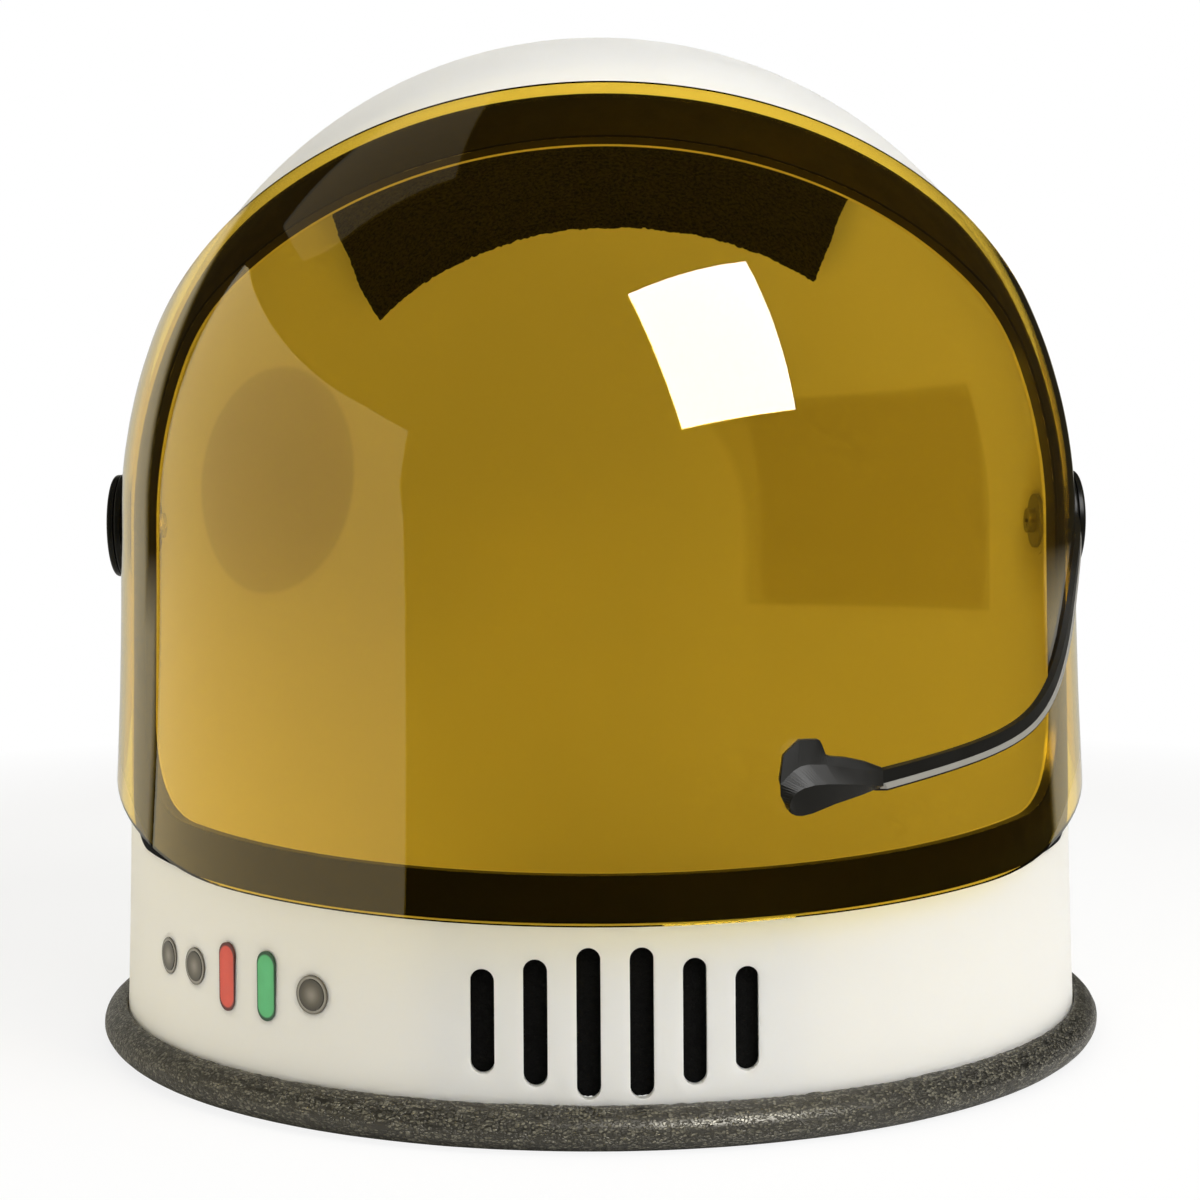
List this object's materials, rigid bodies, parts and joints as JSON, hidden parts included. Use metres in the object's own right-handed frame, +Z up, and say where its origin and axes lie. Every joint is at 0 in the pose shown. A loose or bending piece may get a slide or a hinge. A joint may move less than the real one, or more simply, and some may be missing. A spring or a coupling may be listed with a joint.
{
  "type": "astronaut helmet",
  "caption": "White domed costume helmet with a gold see-through visor that flips up on side pivots, a microphone boom, vent slots and a foam edge ring.",
  "frame": {"origin": "middle of the underside of the foam edge ring, on the floor", "axes": "+Z up, the face opening looks along -Y, +X towards the wearer's left"},
  "size_m": [0.2846, 0.2928, 0.2803],
  "materials": {
    "white_shell": "warm white moulded plastic, satin gloss",
    "black_band": "black band, satin",
    "gold_visor": "clear gold-tinted sheet, high gloss",
    "black_gloss": "black moulded plastic, glossy",
    "washer_nylon": "natural nylon",
    "steel": "plated steel",
    "edge_foam": "dark closed-cell foam with fine creases",
    "pad_foam": "black brushed foam",
    "black_satin": "black plastic, satin",
    "silver_line": "silver foil line",
    "grey_lens": "smoky grey lens, lighter in the middle",
    "grey_bezel": "grey ring",
    "red_lens": "red lens",
    "green_lens": "green lens",
    "blue_patch": "plain round blue patch",
    "striped_patch": "plain striped patch"
  },
  "bodies": {
    "root": {"shell": "white_shell", "opening_trim": "black_band", "pivot_cap_left": "black_gloss", "pivot_cap_right": "black_gloss", "pivot_spacers": "washer_nylon", "backing_washers": "steel", "pivot_screws": "steel", "base_foam": "edge_foam", "crown_pad": "pad_foam", "chin_pad": "pad_foam", "status_dots": "grey_lens", "dot_bezels": "grey_bezel", "red_light": "red_lens", "green_light": "green_lens", "round_patch": "blue_patch", "striped_patch": "striped_patch"},
    "visor": {"visor": "gold_visor", "pivot_flange_left": "black_gloss", "pivot_flange_right": "black_gloss", "mic_boom": "black_satin", "mic_stripe": "silver_line", "mic_capsule": "black_satin"}
  },
  "joints": [
    {"name": "visor_tilt", "type": "hinge", "parent": "root", "child": "visor", "pos_m": [0, 0, 0.143], "axis": [-1, 0, 0], "range_deg": [0, 85]}
  ]
}
